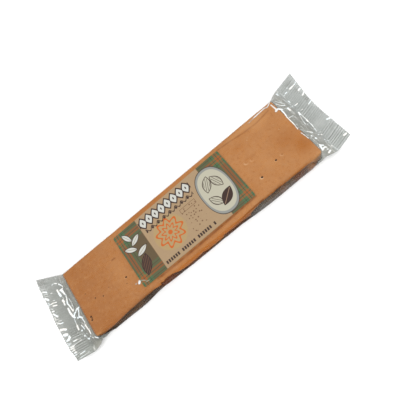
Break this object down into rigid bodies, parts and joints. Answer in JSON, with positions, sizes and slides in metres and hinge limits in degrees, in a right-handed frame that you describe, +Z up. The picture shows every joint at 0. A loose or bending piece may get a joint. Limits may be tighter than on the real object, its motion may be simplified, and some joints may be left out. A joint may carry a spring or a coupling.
{
  "type": "nougat slice in a film pack",
  "caption": "Flat slice of nougat sealed in a clear film pack, with a crimped seal at each end and a paper label on top.",
  "frame": {"origin": "middle of the flat underside, under the middle of the slice", "axes": "+X along the slice, from one crimped seal to the other; +Y across the slice; +Z up, out of the labelled top"},
  "size_m": [0.2345, 0.0674, 0.0136],
  "materials": {
    "clear_film": "clear glossy polypropylene film, crinkled at the ends and crimped at the seals",
    "nougat_top": "smooth set nougat, caramel brown, with a few air holes",
    "dark_layer": "dark brown layer with a broken edge along the slice's sides",
    "label_paper": "matt printed paper, tan with checked cloth pattern at both ends"
  },
  "bodies": {
    "root": {"film_pack": "clear_film", "label": "label_paper"}
  },
  "joints": []
}
